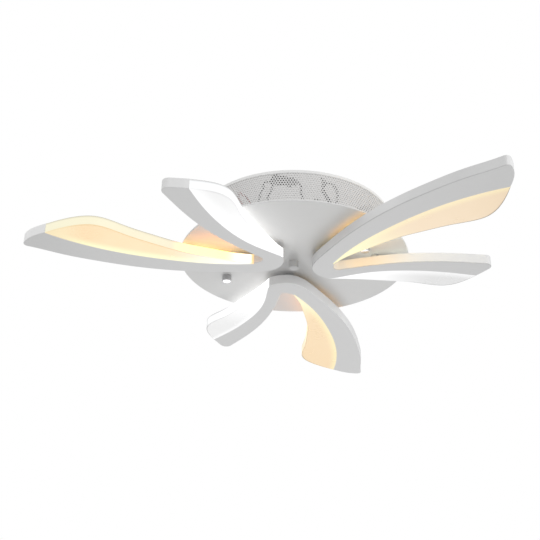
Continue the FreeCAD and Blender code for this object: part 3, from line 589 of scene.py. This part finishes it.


# LED strips: a bare board on edge with a row of diodes on the side that faces the wing. The board's top face glows as
# painted light, standing in for light that spills out of the channel onto the pan.
def strip(name, node, curve, share, aim, turn, chip, edge, pitch=0.0085):
    line = outline(curve, 1200, turn, *share)
    length = np.sum(np.hypot(*np.diff(line, axis=0).T))
    n = max(int(length / 0.004), 8)
    p = even(line, n)
    t = tangents(p)
    side = np.stack([-t[:, 1], t[:, 0]], 1)
    goal = outline(aim, 3, turn)[1]
    if np.dot(side[n // 2], goal - p[n // 2]) < 0:
        side = -side
    z0, z1 = Z_FLOOR + 0.0012, Z_FLOOR + 0.0115
    verts, faces, kinds = [], [], []
    for q, m in zip(p, side):
        a, b = q + m * 0.0016, q + m * 0.0026
        verts += [(*a, z0), (*b, z0), (*b, z1), (*a, z1)]
    for i in range(n - 1):
        for j in range(4):
            faces.append((4 * i + j, 4 * i + (j + 1) % 4, 4 * i + 4 + (j + 1) % 4, 4 * i + 4 + j))
            # face 2, the board's top, takes the painted leak light
            kinds.append(2 if j == 2 else 0)
    faces += [(0, 1, 2, 3), (4 * n - 1, 4 * n - 2, 4 * n - 3, 4 * n - 4)]
    kinds += [0, 0]
    m = int(length / pitch)
    fine = even(line, 40 * m)
    tf = tangents(fine)
    sf = np.stack([-tf[:, 1], tf[:, 0]], 1) * np.sign(np.dot(side[n // 2], (-t[n // 2, 1], t[n // 2, 0])))
    zm = z0 + 0.0045
    for i in range(m):
        j = 40 * i + 20
        o, e, f = fine[j] + sf[j] * 0.0026, tf[j], sf[j]
        for h, deep, lift, kind in ((0.0014, 0.0008, 0.00175, 1),):
            base = len(verts)
            for d in (0.0, deep):
                for u, v in ((-h, -lift), (h, -lift), (h, lift), (-h, lift)):
                    c = o + e * u * (1 if d == 0 else 0.86) + f * d
                    verts.append((c[0], c[1], zm + v * (1 if d == 0 else 0.88)))
            faces += [tuple(base + q for q in r) for r in ((0, 1, 5, 4), (1, 2, 6, 5), (2, 3, 7, 6), (3, 0, 4, 7), (4, 5, 6, 7), (3, 2, 1, 0))]
            kinds += [0, 0, 0, 0, kind, 0]
    return piece(name, verts, faces, [BOARD, chip, edge], node, sharp=30, kinds=kinds)


for i in range(3):
    k = i + 1
    strip("strip_long_%d" % k, "long_led_strip_%d" % k, "outer_long", (0.055, 0.72), "bound_long", i, CHIP_WARM, LEAK_LIGHT_WARM[i])
    strip("strip_short_%d" % k, "short_led_strip_%d" % k, "edge_short", (0.12, 0.78), "bound_short", i, CHIP_COOL, LEAK_LIGHT_COOL[i])


# Perforated wall: a rolled sheet with staggered round holes, plain at both margins, in two half rounds.
COLUMNS = 239


def perforated(name, node, first, last):
    t, count, hole = 0.0008, COLUMNS, 0.00108
    pitch, rows, z0 = 0.00291, 17, 0.0029
    top = -0.001 - Z_PAN_TOP
    foot_r = R_BAND - 0.0038
    step, start = 2 * math.pi / count, math.radians(25.5)
    verts, outer, inner, others, index, pair = [], [], [], [], {}, {}

    def point(height, angle, layer):
        r = R_BAND - t * layer
        verts.append((r * math.cos(start + angle), r * math.sin(start + angle), Z_PAN_TOP + height))
        return len(verts) - 1

    def grid(layer, row, col):
        """Rows in half pitches, columns in quarter steps, shared between neighbours."""
        key = (layer, row, col)
        if key not in index:
            h = {-2: t * layer, 2 * rows + 2: top}.get(row, z0 + row * pitch / 2)
            index[key] = point(h, col * step / 4, layer)
        return index[key]

    for row in range(rows):
        for c in range(first, last):
            c0 = 4 * c + 2 * (row % 2)
            edge = [(2 * row, c0), (2 * row, c0 + 2), (2 * row, c0 + 4), (2 * row + 1, c0 + 4), (2 * row + 2, c0 + 4),
                    (2 * row + 2, c0 + 2), (2 * row + 2, c0), (2 * row + 1, c0)]
            zc, ac = z0 + (row + 0.5) * pitch, (c0 + 2) * step / 4
            rims = []
            for layer, side in ((0, outer), (1, inner)):
                rim = [point(zc + hole * math.sin(math.radians(q)), ac + hole * math.cos(math.radians(q)) / R_BAND, layer)
                       for q in (225, 270, 315, 0, 45, 90, 135, 180)]
                rims.append(rim)
                ring = [grid(layer, *e) for e in edge]
                for i in range(8):
                    j = (i + 1) % 8
                    side.append((ring[i], ring[j], rim[j], rim[i]))
            pair.update(zip(*rims))
            for i in range(8):
                j = (i + 1) % 8
                others.append((rims[0][i], rims[0][j], rims[1][j], rims[1][i]))
    low, high = range(4 * first, 4 * last, 2), range(4 * first + 2 * ((rows - 1) % 2), 4 * last + 2 * ((rows - 1) % 2), 2)
    for layer, side in ((0, outer), (1, inner)):
        for c in low:
            side.append((grid(layer, -2, c), grid(layer, -2, c + 2), grid(layer, 0, c + 2), grid(layer, 0, c)))
        for c in high:
            side.append((grid(layer, 2 * rows, c), grid(layer, 2 * rows, c + 2), grid(layer, 2 * rows + 2, c + 2), grid(layer, 2 * rows + 2, c)))
    # the foot turned in on the pan
    foot = {}
    for c in list(low) + [4 * last]:
        a = start + c * step / 4
        foot[c] = len(verts)
        for r, h in ((foot_r, 0), (foot_r, t)):
            verts.append((r * math.cos(a), r * math.sin(a), Z_PAN_TOP + h))
    for c in low:
        d = c + 2
        others.append((grid(0, -2, c), grid(0, -2, d), foot[d], foot[c]))
        others.append((foot[c], foot[d], foot[d] + 1, foot[c] + 1))
        others.append((foot[c] + 1, foot[d] + 1, grid(1, -2, d), grid(1, -2, c)))
    for c in (4 * first, 4 * last):
        others.append((grid(0, -2, c), foot[c], foot[c] + 1, grid(1, -2, c)))
    # close the top edge and both ends through the thickness of the sheet
    pair.update({v: index[(1,) + k[1:]] for k, v in index.items() if k[0] == 0})
    count_of = {}
    for f in outer:
        for i in range(4):
            e = (f[i], f[(i + 1) % 4])
            count_of[frozenset(e)] = count_of.get(frozenset(e), 0) + 1
    row_of = {v: k[1] for k, v in index.items()}
    for e, n in count_of.items():
        p, q = tuple(e)
        if n == 1 and p in row_of and q in row_of and not (row_of[p] == row_of[q] == -2):
            others.append((p, q, pair[q], pair[p]))
    return piece(name, verts, outer + inner + others, [WALL_PAINT_SHADED], node, sharp=50)


perforated("perforated_wall_back", "perforated_band", 0, 120)
perforated("perforated_wall_front", "perforated_band", 120, COLUMNS)


# ---------------------------------------------------------------- ceiling patch behind the perforation
# Stage only: the ceiling that the canopy closes on, drawn as a fixed grey glow that is painted shade for the dim
# ceiling inside the canopy; it lights nothing. It is clear from above, so that the inside can be looked into.
def painted_shade_ceiling_patch():
    k = Look("painted_shade_ceiling_patch", (0.0, 0.0, 0.0), 1.0)
    k.set("Emission Strength", 1.0)
    k.set("Specular IOR Level", 0.0)
    # painted shade: a fixed dim grey glow stands in for the shaded ceiling inside the canopy
    k.link(k.mix(k.noise(9), (0.64, 0.63, 0.62), (0.68, 0.67, 0.66)), k.b.inputs["Emission Color"])
    clear = k.add("ShaderNodeBsdfTransparent")
    choose = k.add("ShaderNodeMixShader")
    k.link(k.add("ShaderNodeNewGeometry").outputs["Backfacing"], choose.inputs[0])
    k.link(k.b.outputs[0], choose.inputs[1])
    k.link(clear.outputs[0], choose.inputs[2])
    k.link(choose.outputs[0], k.out.inputs["Surface"])
    k.m.cycles.emission_sampling = "NONE"
    n, r, z = 96, 0.1276, -0.00112
    mesh = bpy.data.meshes.new("painted_shade_ceiling_patch")
    ring = [(r * math.cos(-2 * math.pi * i / n), r * math.sin(-2 * math.pi * i / n), z) for i in range(n)]
    mesh.from_pydata(ring, [], [tuple(range(n))])
    mesh.materials.append(k.m)
    o = bpy.data.objects.new("painted_shade_ceiling_patch", mesh)
    scene.collection.objects.link(o)
    o.visible_diffuse = o.visible_glossy = o.visible_transmission = o.visible_shadow = False


painted_shade_ceiling_patch()

# ---------------------------------------------------------------- floor and end
bpy.context.view_layer.update()
floor = bpy.data.meshes.new("floor")
floor.from_pydata([(-40, -40, -2.4), (40, -40, -2.4), (40, 40, -2.4), (-40, 40, -2.4)], [], [(0, 1, 2, 3)])
floor_look = Look("floor", (0.61, 0.61, 0.608), 0.7)
floor_look.tint(floor_look.noise(3, 3), 0.985, 1.01)
floor.materials.append(floor_look.m)
floor_o = bpy.data.objects.new("floor", floor)
scene.collection.objects.link(floor_o)
